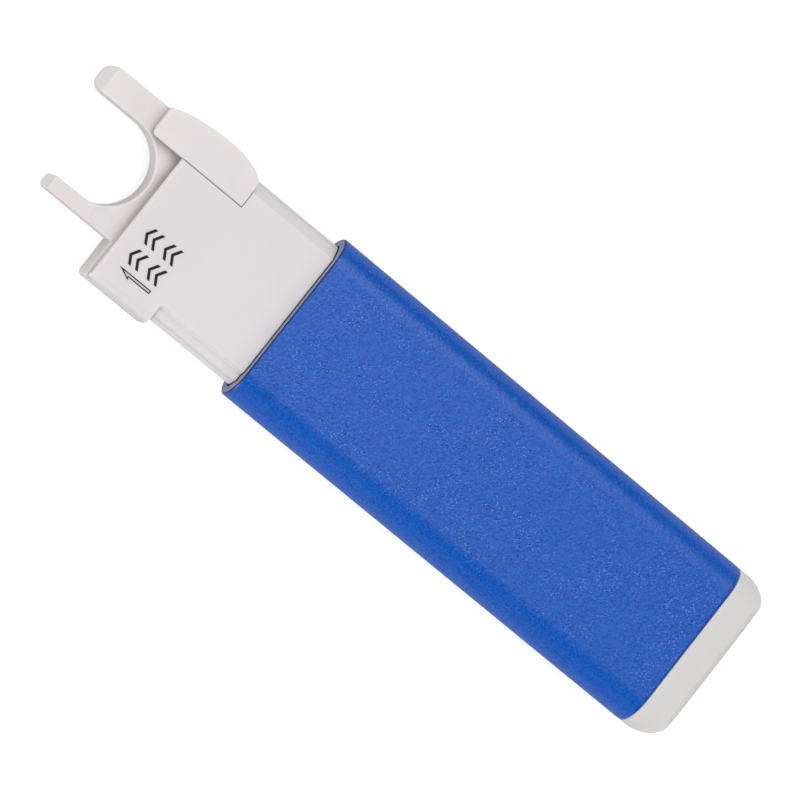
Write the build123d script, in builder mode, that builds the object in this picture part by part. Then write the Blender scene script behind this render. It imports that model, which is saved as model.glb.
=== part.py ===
from build123d import *
import os

# ---------------------------------------------------------------------------
# Flat pocket seam ripper with a covered push blade.
# +X points out of the fork, +Y to the collar side, +Z out of the printed face.
# Origin: centre of the bounding box in X and Y, on the flat underside.
# Lengths in millimetres. Front is +X, left is +Y, right is -Y.
# ---------------------------------------------------------------------------

# overall
width = 24.0                 # sleeve width
height = 7.4                 # sleeve thickness
z_mid = height / 2
overall_length = 106.45
x_rear = -overall_length / 2
x_tip = overall_length / 2

# sleeve
wall = 1.2
plug_show = 4.7              # plug length outside the sleeve
sleeve_length = 65.83
x_rim = x_rear + plug_show   # rear rim
bore_w = width - 2 * wall
bore_h = height - 2 * wall

# body (base and cover together)
neck_h = 4.8
z_top = z_mid + neck_h / 2   # printed face
z_bot = z_mid - neck_h / 2   # underside of the neck and of the fork plate
x_neck_rear = -28.0
x_cover = x_tip - 13.6       # front edge of the cover
x_head = x_cover - 9.4       # rear of the head and of the thumb slide notch
x_collar = x_cover - 9.08    # rear face of the collar
z_part = 4.8                 # parting plane between base and cover
part_gap = 0.01
y_side = -10.5               # head side under the thumb slide
y_notch = -6.64              # inner edge of the thumb slide notch
ledge_w = 0.8                # ledge of the cover under the thumb slide's flange
ledge_z0, ledge_z1 = 5.3, 5.6
foot_r = 0.9                 # lower edges of the head

# collar side in cross-section: three (y, z) points on an arc, from below upwards
collar_side = [(11.55, 2.8), (11.52, 3.8), (11.42, z_part)]
y_collar = collar_side[0][0]
y_collar_bevel = collar_side[2][0]

# fork: a long prong on the right, a short one on the left
fork_r = 5.58                # round end of the U opening
y_fork = -1.2
x_fork = x_cover + 6.6
y_long_in = y_fork - fork_r
y_short_in = y_fork + fork_r
y_short_out = y_short_in + 1.97
x_short_tip = x_cover + 10.95
ramp_long = 1.0              # length of the ramp on each prong end
ramp_short = 0.5

# blade and thumb slide, at the rear end of their travel
slide_travel = 7.5
z_slide = z_part + 0.05      # underside of the thumb slide's tab
z_blade = z_slide
y_blade = y_fork
x_blade = x_cover - 1.2      # front points of the blade
blade_t = 0.4
tang_w = 5.0                 # tang of the blade, and the carriage under it
rivet_gap = 0.01             # radial clearance round the rivets
slide_rivet_r = 0.6
slide_rivet_spots = [(x_cover - 6.6, -8.3), (x_cover - 2.8, -8.3)]

# blade carriage, its channel and the return spring
carriage_x0 = x_cover - 34.0
carriage_x1 = x_cover - 22.0
z_channel = 2.4
z_carriage = z_channel + 0.06
z_guide = 3.6                # axis of the spring and its guide pin
guide_r = 0.5
x_spring_end = x_cover - 3.5
carriage_rivet_r = 0.45
carriage_rivet_spots = [(carriage_x0 + 4, y_blade + 1.65), (carriage_x0 + 8, y_blade - 1.65)]

# guide rib of the thumb slide in the groove of the head
z_rib = 2.9
rib_h = 0.7
groove_h = 0.9

# head travel in the sleeve
head_travel = 12.0
stop_x, stop_y, stop_r = 2.0, 6.5, 1.0

# brake leaf
x_leaf_rivet = -22.7
leaf_rivet_r = 0.5

# screws holding the cover: x, y, z of the underside they sit in
screw_spots = [
    (x_cover - 4.6, 8.6, 0.0),
    (x_cover - 15.0, -6.6, z_bot),
    (-24.0, 6.6, z_bot),
    (-24.0, -6.6, z_bot),
]
screw_r = 0.8
screw_head_r = 1.5
screw_gap = 0.05             # round the screw in the base
boss_r = 1.7
boss_gap = 0.06

os.makedirs("parts", exist_ok=True)


def near(value, target, tolerance=0.01):
    return abs(value - target) < tolerance


def span_rectangle(x0, x1, y0, y1, mode=Mode.ADD):
    """Rectangle between local x0..x1 and y0..y1 of the open sketch."""
    with Locations(((x0 + x1) / 2, (y0 + y1) / 2)):
        Rectangle(x1 - x0, y1 - y0, mode=mode)


# ---------------------------------------------------------------------------
# SLEEVE: flat tube with half-round sides
# ---------------------------------------------------------------------------
rim_fillet = 0.33
bore_chamfer = 0.05          # rear edge of the bore
mouth_chamfer = 0.05         # front edge of the bore

with BuildPart() as sleeve:
    with BuildSketch(Plane.YZ.offset(x_rim)):
        with Locations((0, z_mid)):
            SlotOverall(width, height)
            SlotOverall(bore_w, bore_h, mode=Mode.SUBTRACT)
    extrude(amount=sleeve_length)
    rims = sleeve.faces().filter_by(Axis.X, tolerance=0.01).sort_by(Axis.X)
    fillet([e for rim in (rims[0], rims[-1]) for e in rim.outer_wire().edges()], rim_fillet)
    for end, size in ((0, bore_chamfer), (-1, mouth_chamfer)):
        rim = sleeve.faces().filter_by(Axis.X, tolerance=0.01).sort_by(Axis.X)[end]
        chamfer([e for wire in rim.inner_wires() for e in wire.edges()], size)
    # countersunk hole for the stop pin in the underside
    with Locations(Plane(origin=(stop_x, stop_y, 0), z_dir=(0, 0, -1))):
        CounterSinkHole(
            radius=stop_r, counter_sink_radius=1.6, depth=wall + 0.1, counter_sink_angle=90)

# ---------------------------------------------------------------------------
# STOP PIN: countersunk rivet whose shank runs in the slot of the base
# ---------------------------------------------------------------------------
stop_shank_r = stop_r - 0.01
stop_head_r = 1.56
stop_z0, stop_z1 = 0.02, 2.2
stop_head_top = 0.6
stop_bevel = 0.15

with BuildPart() as stop_pin:
    with BuildSketch(Plane.XZ.offset(-stop_y)):
        with BuildLine():
            Polyline(
                (stop_x, stop_z0), (stop_x + stop_head_r, stop_z0),
                (stop_x + stop_shank_r, stop_head_top),
                (stop_x + stop_shank_r, stop_z1 - stop_bevel),
                (stop_x + stop_shank_r - stop_bevel, stop_z1), (stop_x, stop_z1),
                close=True,
            )
        make_face()
    revolve(axis=Axis((stop_x, stop_y, 0), (0, 0, 1)))

# ---------------------------------------------------------------------------
# END PLUG: cap flush with the sleeve, rounded in plan, with a hollow tongue
# ---------------------------------------------------------------------------
plug_tongue = 6.0
plug_corner = 3.3            # corner radius in plan
plug_edge = 1.1              # radius of the rear edge, seen from the side
plug_bow = 0.25              # how far the rear face bulges
plug_gap = 0.08              # shadow gap between plug and sleeve
plug_fit = 0.04              # clearance round the tongue
tongue_chamfer = 0.35
hollow_extra = 1.2           # how far the hollow runs on into the cap
x_tongue = x_rim - plug_gap
x_flank = x_rear + plug_bow
x_corner = x_flank + plug_corner
x_edge = x_rear + plug_edge
y_half = width / 2
y_corner = y_half - plug_corner

with BuildPart() as end_plug:
    with BuildSketch(Plane.YZ.offset(x_rear)):
        with Locations((0, z_mid)):
            SlotOverall(width, height)
    extrude(amount=plug_show - plug_gap)
    # plan outline
    with BuildSketch(Plane.XY):
        with BuildLine():
            Line((x_rim, -y_half), (x_corner, -y_half))
            RadiusArc((x_corner, -y_half), (x_flank, -y_corner), plug_corner)
            ThreePointArc((x_flank, -y_corner), (x_rear, 0), (x_flank, y_corner))
            RadiusArc((x_flank, y_corner), (x_corner, y_half), plug_corner)
            Line((x_corner, y_half), (x_rim, y_half))
            Line((x_rim, y_half), (x_rim, -y_half))
        make_face()
    extrude(amount=height, mode=Mode.INTERSECT)
    # side outline: rounded rear edge
    with BuildSketch(Plane.XZ.offset(-y_half)):
        with BuildLine():
            Line((x_rim, 0), (x_edge, 0))
            RadiusArc((x_edge, 0), (x_rear, plug_edge), plug_edge)
            Line((x_rear, plug_edge), (x_rear, height - plug_edge))
            RadiusArc((x_rear, height - plug_edge), (x_edge, height), plug_edge)
            Line((x_edge, height), (x_rim, height))
            Line((x_rim, height), (x_rim, 0))
        make_face()
    extrude(amount=width, mode=Mode.INTERSECT)
    # tongue inside the sleeve
    with BuildSketch(Plane.YZ.offset(x_tongue)):
        with Locations((0, z_mid)):
            SlotOverall(bore_w - 2 * plug_fit, bore_h - 2 * plug_fit)
    extrude(amount=plug_tongue)
    chamfer(end_plug.faces().sort_by(Axis.X)[-1].outer_wire().edges(), tongue_chamfer)
    with BuildSketch(Plane.YZ.offset(x_tongue + plug_tongue)):
        with Locations((0, z_mid)):
            SlotOverall(bore_w - 2.6, bore_h - 2.2)
    extrude(amount=-(plug_tongue + hollow_extra), mode=Mode.SUBTRACT)

# ---------------------------------------------------------------------------
# BODY ENVELOPE: the outer shape that the base and the cover share
# ---------------------------------------------------------------------------
# neck section, (y, z): left bevel from the flat top down to the parting plane,
# then the arcs that bulge out on either side
y_flat_left, y_flat_right = 8.4, -8.9
neck_left_bevel = [(y_flat_left, z_top), (9.0, 5.52), (9.82, 5.46), (10.2, z_part)]
neck_left_arc = [(10.2, z_part), (10.6, 3.55), (9.85, 2.3)]
neck_right_arc = [(-10.4, 2.6), (-10.7, 3.7), (-10.4, z_part)]
y_neck_foot = 8.9            # half width of the neck's underside

# rounded end of the recess, (x, y): an arc from the neck's flat edge to the collar
recess_corner = 0.55
recess_arc = [
    (x_collar - 1.7 * recess_corner, y_flat_left),
    (x_collar - 0.45 * recess_corner, y_flat_left + 0.34 * recess_corner),
    (x_collar, y_flat_left + 1.3 * recess_corner),
]
z_recess = z_part + 0.3

with BuildPart() as envelope:
    # neck, then its short continuation beside the thumb slide notch
    for x_start, length in (
        (x_neck_rear, x_head - x_neck_rear), (x_head - 0.5, x_collar - x_head + 0.6),
    ):
        with BuildSketch(Plane.YZ.offset(x_start)):
            with BuildLine():
                Line((y_flat_right, z_top), (y_flat_left, z_top))
                Polyline(*neck_left_bevel)
                ThreePointArc(*neck_left_arc)
                Line(neck_left_arc[-1], (y_neck_foot, z_bot))
                Line((y_neck_foot, z_bot), (-y_neck_foot, z_bot))
                Line((-y_neck_foot, z_bot), neck_right_arc[0])
                ThreePointArc(*neck_right_arc)
                Line(neck_right_arc[-1], (y_flat_right, z_top))
            make_face()
            if x_start > x_neck_rear:
                # only the left side goes on
                span_rectangle(-19, 7, z_mid - 5, z_mid + 5, mode=Mode.SUBTRACT)
        extrude(amount=length)
    # head with the collar
    with BuildSketch(Plane.YZ.offset(x_collar)) as head_section:
        with BuildLine():
            Polyline(
                (y_notch, z_top), (y_notch, z_part), (y_side, z_part), (y_side, 0),
                (y_collar, 0), collar_side[0],
            )
            ThreePointArc(*collar_side)
            Polyline(collar_side[-1], (11.0, 5.84), (10.18, z_top), (y_notch, z_top))
        make_face()
        # inside a sketch on this plane, local x is Y and local y is Z
        fillet(head_section.vertices().filter_by(lambda v: v.Y < 0.01), foot_r)
    extrude(amount=x_cover - x_collar)
    # strip of the head behind the collar
    with BuildSketch(Plane.YZ.offset(x_head)) as strip:
        with BuildLine():
            Polyline(
                (y_notch, z_top), (y_notch, z_part), (y_side, z_part), (y_side, 0),
                (8.0, 0), (8.0, z_top), close=True,
            )
        make_face()
        fillet(strip.vertices().filter_by(lambda v: v.Y < 0.01 and v.X < 0), foot_r)
    extrude(amount=x_collar - x_head)
    # rounded end of the recess along the neck, where it meets the collar
    with BuildSketch(Plane.XY.offset(z_recess)):
        with BuildLine():
            ThreePointArc(*recess_arc)
            Polyline(
                recess_arc[-1], (x_collar + 0.2, recess_arc[-1][1]),
                (x_collar + 0.2, y_flat_left - 0.2), (recess_arc[0][0], y_flat_left - 0.2),
                recess_arc[0],
            )
        make_face()
    extrude(amount=z_top - z_recess)

# ---------------------------------------------------------------------------
# FORK BASE
# ---------------------------------------------------------------------------
shoulder_step = 0.3          # how far the shoulder stands in front of the cover
shoulder_inset = 0.1
shoulder_corner = 0.25
shoulder_side = [(y - shoulder_inset, z) for y, z in collar_side]
tip_r_long, tip_r_short = 1.4, 0.6   # corner radii of the prong ends in plan
ramp_z = 2.3                 # lower end of the ramps
rim_r = 0.25                 # upper edges round the fork opening
roll_l, roll_d = 1.5, 0.20   # length and depth of the roll-off in front of the cover
roll_r = (roll_l ** 2 + roll_d ** 2) / (2 * roll_d)
channel_w = 5.2
spring_channel_w = 2.8
screw_socket_z = 2.5         # floor of the sockets for the screw bosses
# prong ends: x of the end, y from, y to, ramp length, setback at the ramp's foot
prong_ends = [
    (x_tip, y_side, y_long_in, ramp_long, 0.12),
    (x_short_tip, y_short_in, y_short_out, ramp_short, 0.08),
]

with BuildPart() as fork_base:
    add(envelope.part)
    # shoulder of the head, a little ahead of the cover
    with BuildSketch(Plane.YZ.offset(x_cover)) as shoulder:
        with BuildLine():
            Polyline(
                shoulder_side[-1], (y_side, z_part), (y_side, 0),
                (shoulder_side[0][0], 0), shoulder_side[0],
            )
            ThreePointArc(*shoulder_side)
        make_face()
        fillet(shoulder.vertices().filter_by(lambda v: v.Y < 0.01), foot_r)
    extrude(amount=shoulder_step)
    fillet(
        fork_base.edges().filter_by(
            lambda e: near(e.center().X, x_cover + shoulder_step, 0.001)
            and e.center().Y > y_collar - 0.7 and 0.05 < e.center().Z < z_part - 0.05),
        shoulder_corner,
    )
    # fork plate with the U opening
    with BuildSketch(Plane.XY.offset(z_bot)):
        with BuildLine():
            Polyline(
                (x_cover - 1, y_side), (x_tip, y_side), (x_tip, y_long_in),
                (x_fork, y_long_in), (x_fork, y_short_in), (x_short_tip, y_short_in),
                (x_short_tip, y_short_out), (x_cover - 1, y_short_out), close=True,
            )
        make_face()
        with Locations((x_fork, y_fork)):
            Circle(fork_r, mode=Mode.SUBTRACT)
    extrude(amount=z_part - z_bot)
    for x_end, corner_r in ((x_tip, tip_r_long), (x_short_tip, tip_r_short)):
        uprights = fork_base.edges().filter_by(Axis.Z)
        fillet(uprights.filter_by(lambda e: near(e.center().X, x_end)), corner_r)
    # ramps on the two prong ends
    for x_end, y_from, y_to, ramp, setback in prong_ends:
        with BuildSketch(Plane.XZ.offset(-(y_to + 0.5))):
            Polygon(
                (x_end - ramp, z_part), (x_end - setback, ramp_z), (x_end, ramp_z - 0.5),
                (x_end + 1, ramp_z - 0.5), (x_end + 1, z_part + 1), (x_end - ramp, z_part + 1),
                align=None,
            )
        extrude(amount=y_to - y_from + 1.0, mode=Mode.SUBTRACT)
    # softened upper edges round the opening, but not the top edges of the ramps
    opening_rim = fork_base.edges().filter_by(
        lambda e: near(e.center().Z, z_part) and e.center().X > x_cover + shoulder_step + 0.3
        and not near(e.center().X, x_tip - ramp_long)
        and not near(e.center().X, x_short_tip - ramp_short)
        and y_long_in - 0.01 < e.center().Y < y_short_in + 0.01
    )
    fillet(opening_rim, rim_r)
    # the plate rolls off gently towards the blade slot, in front of the cover
    with BuildSketch(Plane.XZ.offset(-y_collar_bevel)):
        with BuildLine():
            Polyline(
                (x_cover + roll_l, z_part), (x_cover + roll_l, z_part + 1),
                (x_cover - 0.6, z_part + 1), (x_cover - 0.6, z_part - roll_d),
                (x_cover, z_part - roll_d),
            )
            RadiusArc((x_cover, z_part - roll_d), (x_cover + roll_l, z_part), roll_r)
        make_face()
    extrude(amount=y_collar_bevel - y_notch, mode=Mode.SUBTRACT)
    # bed for the cover: nothing under it stands above the parting plane
    with BuildSketch(Plane.XY.offset(z_part)):
        span_rectangle(x_neck_rear - 1, x_cover + 1, -width / 2, width / 2)
    extrude(amount=height, mode=Mode.SUBTRACT)
    # channel of the blade carriage, then the narrower spring channel
    x_channel_end = carriage_x1 + slide_travel
    with BuildSketch(Plane.XY.offset(z_channel)):
        span_rectangle(
            carriage_x0 - 0.2, x_channel_end + 0.3,
            y_blade - channel_w / 2, y_blade + channel_w / 2)
        span_rectangle(
            x_channel_end - 0.3, x_spring_end + 0.3,
            y_blade - spring_channel_w / 2, y_blade + spring_channel_w / 2)
    extrude(amount=z_part, mode=Mode.SUBTRACT)
    # bore for the spring guide pin
    with BuildSketch(Plane.YZ.offset(x_spring_end - 0.5)):
        with Locations((y_blade, z_guide)):
            Circle(guide_r + 0.01)
    extrude(amount=2.5, mode=Mode.SUBTRACT)
    # coring of the tail
    with BuildSketch(Plane.XY.offset(2.95)):
        with Locations((-9, 0)):
            with GridLocations(10, 6.6, 2, 3):
                RectangleRounded(8, 5, 0.8)
    extrude(amount=z_part, mode=Mode.SUBTRACT)
    # sockets and countersunk holes of the cover screws
    for screw_x, screw_y, screw_z in screw_spots:
        with BuildSketch(Plane.XY.offset(screw_socket_z)):
            with Locations((screw_x, screw_y)):
                Circle(boss_r + boss_gap)
        extrude(amount=z_part, mode=Mode.SUBTRACT)
        with Locations(Plane(origin=(screw_x, screw_y, screw_z), z_dir=(0, 0, -1))):
            CounterSinkHole(
                radius=screw_r + screw_gap, counter_sink_radius=screw_head_r + screw_gap,
                depth=3.0, counter_sink_angle=90)
    # slot for the stop pin, with 0.12 play at each end and 0.06 at each side
    with BuildSketch(Plane.XY.offset(z_bot - 0.2)):
        with Locations((stop_x + head_travel / 2, stop_y)):
            SlotOverall(head_travel + 2 * (stop_r + 0.12), 2 * (stop_r + 0.06))
    extrude(amount=1.25, mode=Mode.SUBTRACT)
    # pocket and rivet bore of the brake leaf
    with BuildSketch(Plane.XY.offset(z_bot - 0.2)):
        with Locations((-18.1, 0)):
            RectangleRounded(13.2, 4.0, 0.5)
    extrude(amount=1.15, mode=Mode.SUBTRACT)
    with Locations(Plane(origin=(x_leaf_rivet, 0, 2.2), z_dir=(0, 0, -1))):
        Hole(radius=leaf_rivet_r + rivet_gap, depth=0.75)
    # guide groove for the thumb slide in the side of the head
    with BuildSketch(Plane.XZ.offset(-(y_side + 0.6))):
        span_rectangle(
            x_cover - 7.2, x_cover + 9.5, z_rib - groove_h / 2, z_rib + groove_h / 2)
    extrude(amount=2.0, mode=Mode.SUBTRACT)
    # shallow ejector pin mark on the fork plate
    with BuildSketch(Plane.XY.offset(z_part - 0.02)):
        with Locations((x_cover + 3.05, 5.0)):
            Circle(1.3)
    extrude(amount=0.2, mode=Mode.SUBTRACT)

# ---------------------------------------------------------------------------
# TOP COVER
# ---------------------------------------------------------------------------
parting_chamfer = 0.1
cover_front_r = 0.35
blade_slot = 0.5             # height of the blade slot
mouth_h = 0.65               # taller mouth of the slot at the cover's front edge
tang_slot_w = 5.6

with BuildPart() as top_cover:
    add(envelope.part)
    with BuildSketch(Plane.XY.offset(z_part + part_gap)):
        span_rectangle(x_neck_rear, x_cover, -width / 2, width / 2)
        span_rectangle(x_head, x_cover + 1, y_notch - 8, y_notch, mode=Mode.SUBTRACT)
    extrude(amount=height, mode=Mode.INTERSECT)
    # softened lower edge, which leaves a fine groove along the parting line
    low_edges = top_cover.edges().filter_by(Axis.X).filter_by(
        lambda e: near(e.center().Z, z_part + part_gap, 0.001) and abs(e.center().Y) > 9.0)
    chamfer(low_edges, parting_chamfer)
    # rounded front edge
    fillet(
        top_cover.edges().filter_by(
            lambda e: near(e.center().X, x_cover)
            and e.center().Z > z_part + 0.3 and e.center().Y > y_notch + 0.1),
        cover_front_r,
    )
    # ledge under the flange of the thumb slide
    with BuildSketch(Plane.XY.offset(ledge_z0)):
        span_rectangle(x_head, x_cover, y_notch - ledge_w, y_notch)
    extrude(amount=ledge_z1 - ledge_z0)
    # blade slot in the underside, narrower for the tang, open at the front edge
    with BuildSketch(Plane.XY.offset(z_part)):
        span_rectangle(x_cover - 12.3, x_cover + 0.3, y_notch, 5.0)
        span_rectangle(
            carriage_x0 - 0.4, x_cover - 11,
            y_blade - tang_slot_w / 2, y_blade + tang_slot_w / 2)
    extrude(amount=blade_slot, mode=Mode.SUBTRACT)
    # mouth of the slot
    with BuildSketch(Plane.XY.offset(z_part)):
        span_rectangle(x_cover - 1.0, x_cover + 0.2, y_notch + 0.4, 10.7)
    extrude(amount=mouth_h, mode=Mode.SUBTRACT)
    # screw bosses with their pilot bores
    for screw_x, screw_y, _ in screw_spots:
        with BuildSketch(Plane.XY.offset(screw_socket_z + 0.1)):
            with Locations((screw_x, screw_y)):
                Circle(boss_r)
        extrude(amount=z_part - screw_socket_z)
        with BuildSketch(Plane.XY.offset(screw_socket_z)):
            with Locations((screw_x, screw_y)):
                Circle(screw_r + 0.01)
        extrude(amount=2.8, mode=Mode.SUBTRACT)

# ---------------------------------------------------------------------------
# COVER SCREWS: four countersunk self-tapping screws with cross recess
# ---------------------------------------------------------------------------
head_sink = 0.03             # screw heads lie this far inside the underside
thread_top, screw_point = 4.9, 5.25
point_r = 0.25
recess_l, recess_w, recess_top = 1.7, 0.36, 0.42

with BuildPart() as cover_screws:
    for screw_x, screw_y, screw_z in screw_spots:
        head_z = screw_z + head_sink
        with BuildSketch(Plane.XZ.offset(-screw_y)):
            with BuildLine():
                Polyline(
                    (screw_x, head_z), (screw_x + screw_head_r, head_z),
                    (screw_x + screw_r, head_z + screw_head_r - screw_r),
                    (screw_x + screw_r, thread_top), (screw_x + point_r, screw_point),
                    (screw_x, screw_point), close=True,
                )
            make_face()
        revolve(axis=Axis((screw_x, screw_y, 0), (0, 0, 1)))
    for screw_x, screw_y, screw_z in screw_spots:
        with BuildSketch(Plane.XY.offset(screw_z)):
            with Locations((screw_x, screw_y)):
                Rectangle(recess_l, recess_w)
                Rectangle(recess_w, recess_l)
        extrude(amount=recess_top, mode=Mode.SUBTRACT)

# ---------------------------------------------------------------------------
# DIRECTION MARK: four pairs of chevrons and an outlined arrow, a thin layer of ink
# ---------------------------------------------------------------------------
ink_t = 0.02
# one chevron, (x, y) from its tip
chevron = [(0, 0), (-0.68, 1.12), (-1.10, 1.12), (-0.42, 0), (-1.10, -1.12), (-0.68, -1.12)]
chevron_tips = (1.14, 0.02)  # the two tips of a pair, ahead of the pair's place
# half arrow, (back, out): distance behind the tip and distance towards the collar side;
# straight along the chevrons, barbed on the collar side
arrow_x, arrow_y, arrow_l = x_cover - 2.1, 8.02, 4.95
arrow_outer = [(0, 0), (arrow_l, 0), (arrow_l, 0.48), (1.70, 0.48), (1.82, 0.80)]
arrow_inner = [
    (0.67, 0.14), (arrow_l - 0.14, 0.14), (arrow_l - 0.14, 0.34), (1.50, 0.34), (1.57, 0.54),
]

with BuildPart() as direction_mark:
    with BuildSketch(Plane.XY.offset(z_top)):
        for pair_x in (x_cover - 3.2, x_cover - 6.15):
            for pair_y in (3.05, 6.15):
                for tip in chevron_tips:
                    with BuildLine():
                        Polyline([(pair_x + tip + x, pair_y + y) for x, y in chevron], close=True)
                    make_face()
        for outline, mode in ((arrow_outer, Mode.ADD), (arrow_inner, Mode.SUBTRACT)):
            with BuildLine():
                Polyline([(arrow_x - back, arrow_y + out) for back, out in outline], close=True)
            make_face(mode=mode)
    extrude(amount=ink_t)

# ---------------------------------------------------------------------------
# THUMB SLIDE: arched tab beside the cover, with a skirt and a guide rib
# ---------------------------------------------------------------------------
slide_x0 = x_head + 0.03     # a hair in front of the notch's rear face
slide_x1 = x_cover + 4.9
slide_y_in = y_notch - 0.07  # gap beside the cover
y_slide_front, y_slide_rear = -10.6, -10.15
z_skirt = 2.3
# outer side in plan, (x, y) from front to rear
slide_arch = [
    (slide_x1, y_slide_front), (x_cover + 2.4, -11.4), (x_cover - 0.6, -11.83),
    (x_cover - 3.3, -11.97), (x_cover - 5.9, -11.78), (x_cover - 7.9, -11.25),
    (slide_x0, y_slide_rear),
]

with BuildPart() as thumb_slide:
    with BuildSketch(Plane.XY.offset(z_skirt)) as slide_plan:
        with BuildLine():
            Spline(*slide_arch)
            Polyline(
                slide_arch[-1], (slide_x0, slide_y_in), (slide_x1, slide_y_in), slide_arch[0])
        make_face()
        fillet(slide_plan.vertices().sort_by(Axis.Y)[-2:].sort_by(Axis.X)[-1], 0.6)
        fillet(slide_plan.vertices().filter_by(lambda v: near(v.Y, y_slide_front)), 0.5)
        fillet(slide_plan.vertices().filter_by(lambda v: near(v.Y, y_slide_rear)), 0.5)
    extrude(amount=z_top - z_skirt)
    # below the tab only the skirt stays, outside the head and short of both ends
    with BuildSketch(Plane.XY.offset(z_skirt)):
        span_rectangle(slide_x0 - 1, slide_x1 + 1, y_side - 0.1, y_side + 5.9)
        span_rectangle(x_cover + 2.0, x_cover + 8.0, -14, -8)
        span_rectangle(x_cover - 13.4, x_cover - 7.4, -14, -8)
    extrude(amount=z_slide - z_skirt, mode=Mode.SUBTRACT)
    fillet(thumb_slide.faces().sort_by(Axis.Z)[-1].outer_wire().edges(), 0.3)
    # flange over the ledge of the cover
    y_flange = y_notch - ledge_w - 0.1
    with BuildSketch(Plane.XY.offset(z_slide - 0.1)):
        span_rectangle(slide_x0 - 1, slide_x1 + 1, y_flange, y_flange + 2)
    extrude(amount=ledge_z1 + 0.05 - z_slide + 0.1, mode=Mode.SUBTRACT)
    # guide rib
    with BuildSketch(Plane.XZ.offset(-(y_side + 0.5))):
        span_rectangle(x_cover - 7.0, x_cover + 1.6, z_rib - rib_h / 2, z_rib + rib_h / 2)
    extrude(amount=0.7)
    # bed for the blade's ear, and the bores of its two rivets
    with BuildSketch(Plane.XY.offset(z_slide)):
        span_rectangle(x_cover - 8.95, x_cover - 1.65, -9.9, -6.5)
    extrude(amount=blade_t + 0.02, mode=Mode.SUBTRACT)
    with BuildSketch(Plane.XY.offset(z_slide + 0.1)):
        with Locations(*slide_rivet_spots):
            Circle(slide_rivet_r + rivet_gap)
    extrude(amount=0.85, mode=Mode.SUBTRACT)

# ---------------------------------------------------------------------------
# BLADE: flat steel, concave cutting edge, ear for the thumb slide, tang for the carriage
# ---------------------------------------------------------------------------
edge_depth = 5.0             # how far the cutting edge lies behind the points
edge_bevel = 0.3
y_ear = -9.7                 # outer side of the ear
x_tang_rear = carriage_x0 + 0.5
x_tang_front = x_blade - 10.8
tang_y0, tang_y1 = y_blade - tang_w / 2, y_blade + tang_w / 2

with BuildPart() as blade:
    with BuildSketch(Plane.XY.offset(z_blade)) as blade_plan:
        with BuildLine():
            Polyline(
                (x_blade, -6.3), (x_blade - edge_depth, y_blade), (x_blade, 3.9),
                (x_blade - 0.5, 4.15), (x_blade - 8.4, 4.15),
                (x_tang_front, tang_y1), (x_tang_rear, tang_y1),
                (x_tang_rear, tang_y0), (x_tang_front, tang_y0),
                (x_blade - 7.6, -6.4), (x_blade - 7.6, y_ear), (x_blade - 0.7, y_ear),
                (x_blade - 0.7, -6.5), close=True,
            )
        make_face()
        fillet(blade_plan.vertices().filter_by(lambda v: near(v.X, x_blade - edge_depth)), 1.6)
        fillet(blade_plan.vertices().filter_by(lambda v: near(v.Y, y_ear)), 0.5)
    extrude(amount=blade_t)
    cutting_edges = blade.edges().filter_by(
        lambda e: near(e.center().Z, z_blade + blade_t)
        and x_blade - 4.9 < e.center().X < x_blade - 0.6 and -5.1 < e.center().Y < 3.0
    )
    chamfer(cutting_edges, edge_bevel)
    with BuildSketch(Plane.XY.offset(z_blade)):
        with Locations(*slide_rivet_spots):
            Circle(slide_rivet_r + rivet_gap)
        with Locations(*carriage_rivet_spots):
            Circle(carriage_rivet_r + rivet_gap)
    extrude(amount=blade_t, mode=Mode.SUBTRACT)

# ---------------------------------------------------------------------------
# SLIDE RIVETS: join the blade's ear to the thumb slide
# ---------------------------------------------------------------------------
with BuildPart() as slide_rivets:
    with BuildSketch(Plane.XY.offset(z_slide)):
        with Locations(*slide_rivet_spots):
            Circle(slide_rivet_r)
    extrude(amount=0.9)

# ---------------------------------------------------------------------------
# BLADE CARRIAGE: block under the tang, bored for the guide pin; and its rivets
# ---------------------------------------------------------------------------
z_rivet_bore = z_channel + 0.5
z_rivet = z_rivet_bore + 0.02

with BuildPart() as blade_carriage:
    with BuildSketch(Plane.XY.offset(z_carriage)):
        with Locations(((carriage_x0 + carriage_x1) / 2, y_blade)):
            RectangleRounded(carriage_x1 - carriage_x0, tang_w, 0.6)
    extrude(amount=z_blade - 0.01 - z_carriage)
    with BuildSketch(Plane.YZ.offset(carriage_x1)):
        with Locations((y_blade, z_guide)):
            Circle(guide_r + 0.08)
    extrude(amount=-10.0, mode=Mode.SUBTRACT)
    with BuildSketch(Plane.XY.offset(z_rivet_bore)):
        with Locations(*carriage_rivet_spots):
            Circle(carriage_rivet_r + rivet_gap)
    extrude(amount=4, mode=Mode.SUBTRACT)

with BuildPart() as carriage_rivets:
    with BuildSketch(Plane.XY.offset(z_rivet)):
        with Locations(*carriage_rivet_spots):
            Circle(carriage_rivet_r)
    extrude(amount=z_blade + blade_t - 0.01 - z_rivet)

# ---------------------------------------------------------------------------
# SPRING GUIDE PIN and RETURN SPRING
# ---------------------------------------------------------------------------
with BuildPart() as spring_guide_pin:
    with BuildSketch(Plane.YZ.offset(carriage_x1 - 1.0)):
        with Locations((y_blade, z_guide)):
            Circle(guide_r)
    extrude(amount=x_spring_end - carriage_x1 + 2.9)
    chamfer(spring_guide_pin.faces().sort_by(Axis.X)[0].outer_wire().edges(), 0.12)

coil_r, wire_r, coil_pitch = 0.85, 0.15, 1.3
coil_inset = 0.2             # centre of the wire from each end of the spring's space

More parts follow.
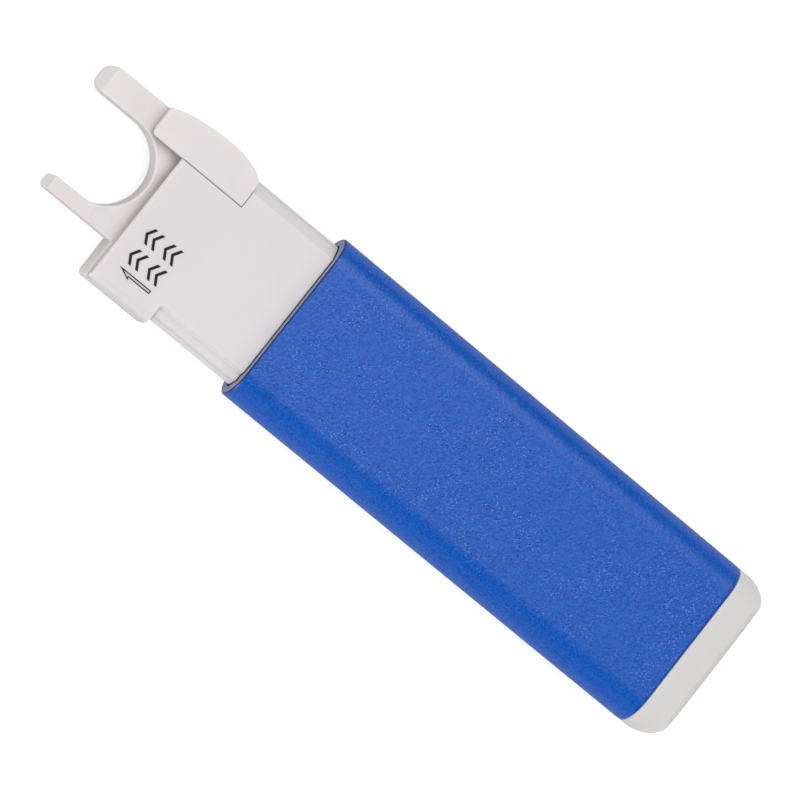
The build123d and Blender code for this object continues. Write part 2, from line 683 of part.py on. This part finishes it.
with BuildPart() as return_spring:
    with BuildLine() as coil:
        Helix(
            pitch=coil_pitch, height=x_spring_end - carriage_x1 - 2 * coil_inset,
            radius=coil_r, center=(carriage_x1 + coil_inset, y_blade, z_guide),
            direction=(1, 0, 0),
        )
    with BuildSketch(Plane(origin=coil.line @ 0, z_dir=coil.line % 0)):
        Circle(wire_r)
    sweep(path=coil.line, is_frenet=True)

# ---------------------------------------------------------------------------
# BRAKE LEAF and its rivet: the bowed strip bears on the inside of the sleeve
# ---------------------------------------------------------------------------
leaf_t = 0.16
leaf_w = 3.2
leaf_rear = (-24.3, 2.05)
# lower face of the bow, (x, z) from rear to front, and the upper face back again
leaf_lower = [(-21.0, 2.05), (-19.2, 1.66), (-16.9, wall + 0.02), (-14.4, 1.62), (-12.3, 2.02)]
leaf_upper = [(x, z + leaf_t) for x, z in reversed(leaf_lower)]
leaf_rear_upper = (leaf_rear[0], leaf_rear[1] + leaf_t)

with BuildPart() as brake_leaf:
    with BuildSketch(Plane.XZ.offset(-leaf_w / 2)):
        with BuildLine():
            Line(leaf_rear, leaf_lower[0])
            Spline(*leaf_lower, tangents=[(1, 0), (1, 0.1)])
            Line(leaf_lower[-1], leaf_upper[0])
            Spline(*leaf_upper, tangents=[(-1, -0.1), (-1, 0)])
            Line(leaf_upper[-1], leaf_rear_upper)
            Line(leaf_rear_upper, leaf_rear)
        make_face()
    extrude(amount=leaf_w)
    with BuildSketch(Plane.XY.offset(1.5)):
        with Locations((x_leaf_rivet, 0)):
            Circle(leaf_rivet_r + 0.02)
    extrude(amount=1.5, mode=Mode.SUBTRACT)

with BuildPart() as leaf_rivet:
    # head below the leaf, then the shank up into the base
    with BuildSketch(Plane.XY.offset(1.72)):
        with Locations((x_leaf_rivet, 0)):
            Circle(0.9)
    extrude(amount=0.32)
    chamfer(leaf_rivet.faces().sort_by(Axis.Z)[0].outer_wire().edges(), 0.12)
    with BuildSketch(Plane.XY.offset(2.0)):
        with Locations((x_leaf_rivet, 0)):
            Circle(leaf_rivet_r)
    extrude(amount=0.9)

# ---------------------------------------------------------------------------
# EXPORT
# ---------------------------------------------------------------------------
pieces = [
    ("sleeve", sleeve), ("stop_pin", stop_pin), ("end_plug", end_plug),
    ("fork_base", fork_base), ("top_cover", top_cover), ("cover_screws", cover_screws),
    ("direction_mark", direction_mark), ("thumb_slide", thumb_slide), ("blade", blade),
    ("slide_rivets", slide_rivets), ("blade_carriage", blade_carriage),
    ("carriage_rivets", carriage_rivets), ("spring_guide_pin", spring_guide_pin),
    ("return_spring", return_spring), ("brake_leaf", brake_leaf), ("leaf_rivet", leaf_rivet),
]
for label, piece in pieces:
    piece.part.label = label
    export_step(piece.part, "parts/" + label + ".step")
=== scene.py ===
"""A bladed hand tool: blue powder-coated sleeve, off-white moulded parts and steel inner pieces.

It lies flat on a pale floor with its long axis along X and Z up. The scene is in metres.
Textures are laid out in millimetres of object space.
"""
import math

import bpy
from mathutils import Matrix, Vector

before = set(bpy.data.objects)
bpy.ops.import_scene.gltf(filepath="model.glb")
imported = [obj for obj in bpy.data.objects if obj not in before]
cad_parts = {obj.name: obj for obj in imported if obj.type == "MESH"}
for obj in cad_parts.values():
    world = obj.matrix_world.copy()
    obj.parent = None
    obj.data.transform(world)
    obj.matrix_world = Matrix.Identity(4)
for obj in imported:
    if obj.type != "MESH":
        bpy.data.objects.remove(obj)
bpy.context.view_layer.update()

MM = 0.001


# ---------------------------------------------------------------------------
# Node helpers
# ---------------------------------------------------------------------------
MIDDLE = (0.3, 0.7)  # the range that most noise values fall in


class Graph:
    """Adds nodes to a node tree. Helpers return output sockets, to feed into later nodes."""

    def __init__(self, tree):
        self.tree = tree

    def put(self, socket, value):
        """Link a socket to an input, or set the input's value; None leaves it alone."""
        if isinstance(value, bpy.types.NodeSocket):
            self.tree.links.new(value, socket)
        elif value is not None:
            if socket.type == "RGBA" and len(value) == 3:
                value = (*value, 1.0)
            socket.default_value = value

    def node(self, kind, inputs=None, **settings):
        """A new node; inputs maps socket names or indices to values or sockets."""
        node = self.tree.nodes.new(kind)
        for key, value in settings.items():
            setattr(node, key, value)
        for key, value in (inputs or {}).items():
            self.put(node.inputs[key], value)
        return node

    def math(self, operation, first, second=None):
        return self.node("ShaderNodeMath", {0: first, 1: second}, operation=operation).outputs[0]

    def add(self, first, second):
        return self.math("ADD", first, second)

    def multiply(self, value, by):
        return self.math("MULTIPLY", value, by)

    def vector(self, operation, first, second):
        node = self.node("ShaderNodeVectorMath", {0: first, 1: second}, operation=operation)
        return node.outputs["Value" if operation == "DISTANCE" else 0]

    def ramp(self, value, over=MIDDLE, to=(0.0, 1.0), smooth=False):
        """Remap a value from the range `over` to the range `to`, clamped at both ends."""
        return self.node("ShaderNodeMapRange", {
            "Value": value, "From Min": over[0], "From Max": over[1],
            "To Min": to[0], "To Max": to[1],
        }, interpolation_type="SMOOTHSTEP" if smooth else "LINEAR").outputs["Result"]

    def mix(self, base, top, mask, strength=None):
        """Lay colour `top` over `base` where the mask is 1, weakened by the strength."""
        if strength is not None:
            mask = self.multiply(mask, by=strength)
        node = self.node("ShaderNodeMix", data_type="RGBA")
        for key, value in (("Factor", mask), (6, base), (7, top)):
            self.put(node.inputs[key], value)
        return node.outputs[2]


class Material(Graph):
    """A material built around one Principled shader."""

    def __init__(self, name):
        self.material = bpy.data.materials.new(name)
        self.material.use_nodes = True
        super().__init__(self.material.node_tree)
        self.tree.nodes.clear()
        output = self.node("ShaderNodeOutputMaterial")
        self.shader = self.node("ShaderNodeBsdfPrincipled")
        self.put(output.inputs["Surface"], self.shader.outputs["BSDF"])
        place = self.node("ShaderNodeTexCoord").outputs["Object"]
        self.place_mm = self.node(
            "ShaderNodeVectorMath", {0: place, "Scale": 1000.0}, operation="SCALE").outputs[0]

    def stretch(self, x, y, z):
        return self.vector("MULTIPLY", self.place_mm, (x, y, z))

    def noise(self, scale, detail=2.0, rough=0.5, coords=None, distortion=0.0):
        return self.node("ShaderNodeTexNoise", {
            "Vector": coords or self.place_mm, "Scale": scale, "Detail": detail,
            "Roughness": rough, "Distortion": distortion}).outputs["Fac"]

    def cells(self, scale, coords=None):
        """Distance to the nearest of a scatter of points."""
        return self.node("ShaderNodeTexVoronoi", {
            "Vector": coords or self.place_mm, "Scale": scale}).outputs["Distance"]

    def axis(self, name):
        """One object coordinate, in mm."""
        return self.node("ShaderNodeSeparateXYZ", {0: self.place_mm}).outputs[name]

    def bump(self, height, strength, depth_mm, normal=None):
        return self.node("ShaderNodeBump", {
            "Height": height, "Strength": strength, "Distance": depth_mm * MM,
            "Normal": normal}).outputs["Normal"]

    def soft_edges(self, radius_mm):
        return self.node("ShaderNodeBevel", {"Radius": radius_mm * MM}, samples=6).outputs["Normal"]

    def edge_mask(self, radius_mm):
        """1 on sharp edges, 0 on flats: how far the rounded normal leaves the true one."""
        rounded = self.soft_edges(radius_mm)
        normal = self.node("ShaderNodeNewGeometry").outputs["Normal"]
        return self.ramp(self.vector("DISTANCE", rounded, normal), over=(0.02, 0.35), smooth=True)

    def finish(self, color, rough, normal, **extra):
        """Feed the shader; extra names are its inputs, with underscores for spaces."""
        inputs = {"Base_Color": color, "Roughness": rough, "Normal": normal, **extra}
        for key, value in inputs.items():
            self.put(self.shader.inputs[key.replace("_", " ")], value)
        return self.material


def grey(level):
    return (level, level, level)


def scaled(color, factor):
    return tuple(min(1.0, channel * factor) for channel in color)


# ---------------------------------------------------------------------------
# Materials
# ---------------------------------------------------------------------------
def powder_coat():
    """Blue satin coat: pebbled, speckled, with pale flecks and bare metal on the end faces."""
    m = Material("sleeve_powder_coat")
    pebble = m.noise(scale=2.7)
    fine = m.noise(scale=8.0)
    speck = m.noise(scale=4.4, detail=1.0, rough=0.6)
    slow = m.noise(scale=0.09)
    patch = m.noise(scale=0.35)

    # Pin-point flecks and pits, gathered in loose clusters and sparser far out in Y
    cluster = m.ramp(m.noise(scale=0.16, detail=3.0, rough=0.6), over=(0.38, 0.58), to=(0.08, 1.0))
    pick = m.multiply(m.ramp(m.noise(scale=1.3, detail=1.0), over=(0.44, 0.54)), by=cluster)
    from_axis = m.math("ABSOLUTE", m.axis("Y"))
    pick = m.multiply(pick, by=m.ramp(from_axis, over=(7.8, 9.2), to=(1.0, 0.35)))

    def dots(coords=None):
        spots = m.ramp(m.cells(scale=2.9, coords=coords), over=(0.14, 0.38), to=(1.0, 0.0))
        return m.multiply(spots, by=pick)

    pit_offset = (0.16, -0.07, 0.11)  # mm; sets each pit beside its fleck
    flecks = dots()
    pits = dots(m.vector("ADD", m.place_mm, pit_offset))

    speckle = m.ramp(speck, over=(0.36, 0.64))
    base = m.mix((0.0009, 0.054, 0.372), (0.0030, 0.110, 0.496), mask=speckle)
    base = m.mix(base, (0.0050, 0.110, 0.52), mask=m.ramp(slow, to=(0.0, 0.10)))
    base = m.mix(base, (0.0010, 0.018, 0.190), mask=pits, strength=0.90)
    base = m.mix(base, (0.120, 0.300, 0.820), mask=flecks, strength=0.70)
    wear = m.ramp(m.noise(scale=1.6, detail=4.0, rough=0.6), over=(0.42, 0.66))
    worn = m.multiply(m.edge_mask(radius_mm=0.14), by=wear)
    base = m.mix(base, (0.07, 0.20, 0.60), mask=worn, strength=0.30)

    # The cut end faces: how far the true surface normal leans along X
    true_normal = m.node("ShaderNodeNewGeometry").outputs["True Normal"]
    lean = m.node("ShaderNodeSeparateXYZ", {0: true_normal}).outputs["X"]
    lean = m.math("ABSOLUTE", lean)
    bare = m.ramp(m.noise(scale=1.2, detail=3.0, rough=0.6), over=(0.25, 0.40))
    cut = m.multiply(m.ramp(lean, over=(0.93, 0.97)), by=bare)
    # Painted shade: the rounded rim edges are made darker, standing in for their dark reflection
    rim_edge_shade = m.multiply(m.ramp(lean, over=(0.25, 0.45)),
                       by=m.ramp(lean, over=(0.93, 0.96), to=(1.0, 0.0)))
    base = m.mix(base, (0.0015, 0.025, 0.160), mask=rim_edge_shade, strength=0.85)
    base = m.mix(base, (0.30, 0.34, 0.56), mask=cut)

    height = m.add(m.multiply(pebble, by=0.7), m.multiply(fine, by=0.3))
    height = m.add(height, m.multiply(m.math("SUBTRACT", flecks, pits), by=0.5))
    relief = m.multiply(height, by=m.ramp(patch, over=(0.35, 0.65), to=(0.7, 1.35)))
    normal = m.bump(relief, strength=0.9, depth_mm=0.050, normal=m.soft_edges(radius_mm=0.10))
    rough = m.add(m.ramp(pebble, to=(0.17, 0.25)), m.multiply(m.ramp(slow), by=0.04))
    return m.finish(base, rough, normal, Specular_IOR_Level=0.5,
                    Metallic=m.multiply(cut, by=0.5))


def painted_rim_gap_shade(m, base):
    """Painted shade: a narrow dark line on the neck where the sleeve's rim sits, standing in for
    the shade in the gap under the rim.
    """
    start, end, fade = 17.20, 17.43, 0.03  # mm along X
    x = m.axis("X")
    line = m.multiply(m.ramp(x, over=(start, start + fade)),
                      by=m.ramp(x, over=(end - fade, end), to=(1.0, 0.0)))
    uneven = m.noise(scale=0.8, detail=3.0, rough=0.6)
    line = m.multiply(line, by=m.ramp(uneven, over=(0.2, 0.5), to=(0.75, 1.0)))
    return m.mix(base, (0.055, 0.060, 0.085), mask=line)


def painted_corner_shade(m, base, amount):
    """Painted shade: darkening in the inner corners, strongest on the -Y side and fading out
    towards +Y.
    """
    sky = m.node("ShaderNodeAmbientOcclusion", {"Distance": 1.9 * MM}, samples=8).outputs["AO"]
    painted_shade = m.ramp(sky, over=(0.50, 0.97), to=(amount, 0.0))
    uneven = m.noise(scale=0.5, detail=3.0, rough=0.6)
    painted_shade = m.multiply(painted_shade, by=m.ramp(uneven, to=(0.85, 1.1)))
    painted_shade = m.multiply(painted_shade, by=m.ramp(m.axis("Y"), over=(-6.0, 7.5), to=(1.0, 0.0)))
    return m.mix(base, (0.20, 0.182, 0.165), mask=painted_shade)


def moulded(name, light, dark, rough=0.42, pebble_mm=0.35, depth_mm=0.006, edge_mm=0.18,
            rim_gap_shade=False, corner_shade=0.0):
    """Off-white moulded plastic: faint flow mottling, fine spark-eroded skin, softened edges with a
    painted highlight; optional painted shade in the corners and at the sleeve's rim.
    """
    m = Material(name)
    flow = m.noise(scale=0.16, detail=3.0, rough=0.55, coords=m.stretch(1.0, 0.45, 1.0),
                   distortion=0.6)
    skin = m.noise(scale=1.0 / pebble_mm, rough=0.6)
    micro = m.noise(scale=6.0 / pebble_mm, detail=1.0)
    scuff = m.noise(scale=1.1, detail=5.0, rough=0.7, coords=m.stretch(0.25, 2.0, 1.0))

    base = m.mix(dark, light, mask=m.ramp(flow, over=(0.32, 0.68)))
    # Painted highlight: edges made a little lighter
    base = m.mix(base, scaled(light, factor=1.05), mask=m.edge_mask(edge_mm), strength=0.35)
    grime = m.ramp(scuff, over=(0.60, 0.78))
    base = m.mix(base, scaled(dark, factor=0.90), mask=grime, strength=0.10)
    # Painted shade: dark line where the sleeve's rim meets the neck
    if rim_gap_shade:
        base = painted_rim_gap_shade(m, base)
    # Painted shade in the inner corners
    if corner_shade:
        base = painted_corner_shade(m, base, corner_shade)

    roughness = m.add(m.ramp(skin, to=(rough - 0.04, rough + 0.05)),
                      m.ramp(scuff, over=(0.45, 0.75), to=(0.0, -0.06)))
    height = m.add(m.multiply(skin, by=0.8), m.multiply(micro, by=0.2))
    normal = m.bump(height, strength=0.5, depth_mm=depth_mm, normal=m.soft_edges(edge_mm))
    return m.finish(base, roughness, normal, Subsurface_Weight=0.45,
                    Subsurface_Radius=(1.0, 0.86, 0.82), Subsurface_Scale=0.9 * MM,
                    Specular_IOR_Level=0.5)


def ink():
    """Pad-printed black ink: slightly uneven film."""
    m = Material("print_ink")
    film = m.noise(scale=5.0, detail=3.0, rough=0.6)
    base = m.mix(grey(0.002), grey(0.008), mask=m.ramp(film, over=(0.35, 0.7)))
    return m.finish(base, m.ramp(film, to=(0.55, 0.75)),
                    m.bump(film, strength=0.4, depth_mm=0.004))


def steel(name, tone, rough, grain_axis, grain=14.0):
    """Bare steel with fine grain along one axis and brighter worn edges."""
    m = Material(name)
    edge_mm = 0.05
    stretch = [1.0, 1.0, 1.0]
    stretch[grain_axis] = 0.03
    brushed = m.noise(scale=grain, detail=3.0, rough=0.65, coords=m.stretch(*stretch))
    cloud = m.noise(scale=0.7, detail=3.0, rough=0.6)
    base = m.mix(scaled(tone, factor=0.86), tone, mask=m.ramp(brushed))
    base = m.mix(base, scaled(tone, factor=1.25), mask=m.edge_mask(edge_mm), strength=0.5)
    roughness = m.add(m.ramp(brushed, to=(rough - 0.05, rough + 0.06)),
                      m.ramp(cloud, to=(-0.03, 0.04)))
    normal = m.bump(brushed, strength=0.35, depth_mm=0.004, normal=m.soft_edges(edge_mm))
    return m.finish(base, roughness, normal, Metallic=1.0, Anisotropic=0.5)


looks = {
    "sleeve": powder_coat(),
    "end_plug": moulded(
        "plug_plastic", light=(0.646, 0.630, 0.625), dark=(0.627, 0.611, 0.607),
        rough=0.50, pebble_mm=0.45, depth_mm=0.010),
    "fork_base": moulded(
        "body_plastic", light=(0.706, 0.667, 0.674), dark=(0.687, 0.648, 0.655),
        rim_gap_shade=True, corner_shade=0.45),
    "top_cover": moulded(
        "cover_plastic", light=(0.695, 0.664, 0.670), dark=(0.677, 0.646, 0.651), rim_gap_shade=True),
    "thumb_slide": moulded(
        "slide_plastic", light=(0.712, 0.673, 0.681), dark=(0.693, 0.654, 0.663),
        rough=0.40, edge_mm=0.15),
    "blade_carriage": moulded(
        "carriage_acetal", light=(0.62, 0.615, 0.60), dark=(0.58, 0.575, 0.56),
        rough=0.32, pebble_mm=0.6),
    "direction_mark": ink(),
}

X, Y, Z = range(3)
RIVET = ((0.50, 0.50, 0.52), 0.32, Z)
STEELS = {  # piece: (material, tone, roughness, grain axis, grain scale where not the usual)
    "blade": ("blade_ground_steel", (0.66, 0.67, 0.69), 0.38, Y, 16.0),
    "stop_pin": ("pin_steel", (0.52, 0.52, 0.54), 0.30, Z),
    "cover_screws": ("screw_plated_steel", (0.50, 0.51, 0.53), 0.28, Z),
    "slide_rivets": ("rivet_steel", *RIVET),
    "leaf_rivet": ("leaf_rivet_steel", *RIVET),
    "spring_guide_pin": ("guide_pin_steel", (0.54, 0.54, 0.56), 0.22, X),
    "return_spring": ("spring_wire", (0.42, 0.42, 0.43), 0.30, X),
    "brake_leaf": ("leaf_strip", (0.46, 0.44, 0.41), 0.28, X),
    "carriage_rivets": ("carriage_rivet_steel", *RIVET),
}
for piece, row in STEELS.items():
    looks[piece] = steel(*row)

for piece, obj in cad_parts.items():
    obj.data.materials.clear()
    obj.data.materials.append(looks[piece])
    for poly in obj.data.polygons:
        poly.material_index = 0


# ---------------------------------------------------------------------------
# Stage
# ---------------------------------------------------------------------------
def link_object(name, data):
    obj = bpy.data.objects.new(name, data)
    bpy.context.scene.collection.objects.link(obj)
    return obj


def floor():
    half = 3.0
    drop = 0.00002  # keeps the floor just clear of the tool
    mesh = bpy.data.meshes.new("floor")
    corners = [(-half, -half, 0), (half, -half, 0), (half, half, 0), (-half, half, 0)]
    mesh.from_pydata(corners, [], [(0, 1, 2, 3)])
    obj = link_object("floor", mesh)

    m = Material("floor_paper")
    tone = m.mix(grey(0.71), grey(0.73), mask=m.ramp(m.noise(scale=0.02)))
    # Backlit paper: only the lens sees the glow, so it doesn't light the tool from below
    path = m.node("ShaderNodeLightPath").outputs
    glow = m.multiply(path["Is Camera Ray"], by=0.56)
    # Painted reflection: the floor shows darker where the tool reflects it
    tone = m.mix(tone, grey(0.50), mask=path["Is Glossy Ray"])
    grain = m.bump(m.noise(scale=1.2, detail=3.0), strength=0.2, depth_mm=0.01)
    obj.data.materials.append(m.finish(
        tone, rough=0.85, normal=grain, Emission_Color=grey(1), Emission_Strength=glow))
    obj.location.z = -drop


def area_light(name, position, power):
    """A square panel aimed at the origin."""
    data = bpy.data.lights.new(name, "AREA")
    data.shape = "RECTANGLE"
    data.size = data.size_y = 0.50
    data.energy = power
    obj = link_object(name, data)
    obj.location = position
    obj.rotation_mode = "QUATERNION"
    obj.rotation_quaternion = (-Vector(position)).to_track_quat("-Z", "Y")


floor()
area_light("key_from_slide_side", position=(0.15, -0.62, 0.70), power=1.1)
area_light("fill_from_collar_side", position=(0.42, 0.72, 0.40), power=2.7)


# ---------------------------------------------------------------------------
# World: a soft tent of bright panels with dim gaps between them
# ---------------------------------------------------------------------------
# Its level is the product of two ramps, listed as (place, level).
AROUND = (  # degrees about X, from straight up (0) towards +Y
    (-90, 0.12), (-80, 0.03), (-64, 0.02), (-56, 0.12), (-47, 0.70), (-38, 1.85),
    (-12, 1.80), (-3, 1.10), (5, 0.45), (12, 0.02), (20, 0.0), (38, 0.0),
    (46, 0.15), (54, 0.28), (64, 0.40), (74, 0.32), (90, 0.25),
)
ALONG = (  # X part of the direction
    (-1.0, 0.25), (-0.42, 0.15), (-0.35, 0.30), (-0.29, 0.92), (-0.22, 1.50),
    (0.30, 1.25), (0.55, 0.55), (0.75, 0.08), (1.0, 0.08),
)


def level_ramp(graph, value, stops):
    """Level at a value, halved so that it fits in the ramp's colours."""
    low, high = stops[0][0], stops[-1][0]
    unit = graph.ramp(value, over=(low, high))
    node = graph.node("ShaderNodeValToRGB", {"Fac": unit})
    elements = node.color_ramp.elements
    while len(elements) < len(stops):
        elements.new(0.5)
    for element, (at, level) in zip(elements, stops):
        element.position = (at - low) / (high - low)
        element.color = (*grey(level / 2), 1)
    return node.outputs["Color"]


def tent():
    world = bpy.data.worlds.new("studio")
    world.use_nodes = True
    g = Graph(world.node_tree)
    direction = g.node("ShaderNodeTexCoord").outputs["Generated"]
    split = g.node("ShaderNodeSeparateXYZ", {0: direction}).outputs
    turn = g.math("ARCTAN2", split["Y"], split["Z"])
    around = level_ramp(g, turn, [(math.radians(angle), level) for angle, level in AROUND])
    panels = g.vector("MULTIPLY", around, level_ramp(g, split["X"], ALONG))
    # Matt surfaces see the tent through a diffuser, so they are lit evenly from every side
    diffuse = g.node("ShaderNodeLightPath").outputs["Is Diffuse Ray"]
    background = world.node_tree.nodes["Background"]
    g.put(background.inputs["Color"], g.mix(panels, grey(0.216), mask=diffuse))
    background.inputs["Strength"].default_value = 3.7
    bpy.context.scene.world = world


tent()
view = bpy.context.scene.view_settings
view.view_transform = "Standard"
view.look = "None"
view.exposure = 0.0


# ---------------------------------------------------------------------------
# Camera: a long lens above the tool, leaning towards +X and a little to +Y
# ---------------------------------------------------------------------------
LENS_MM = 259.77
DISTANCE = 0.700
AIM = Vector((0.2287, -0.8575, 7.4)) * MM
RIGHT = Vector((-0.74146372, -0.61666708, 0.26448681))
UP = Vector((0.61377586, -0.78259849, -0.10401348))
BACK = Vector((0.27112867, 0.0852134, 0.95876375))  # from the aim to the camera

lens = bpy.data.cameras.new("camera")
lens.sensor_width = 36.0
lens.lens = LENS_MM
lens.clip_start, lens.clip_end = 0.05, 20.0
camera = link_object("camera", lens)
pose = Matrix((RIGHT, UP, BACK)).transposed().to_4x4()
pose.translation = AIM + BACK * DISTANCE
camera.matrix_world = pose
bpy.context.scene.camera = camera
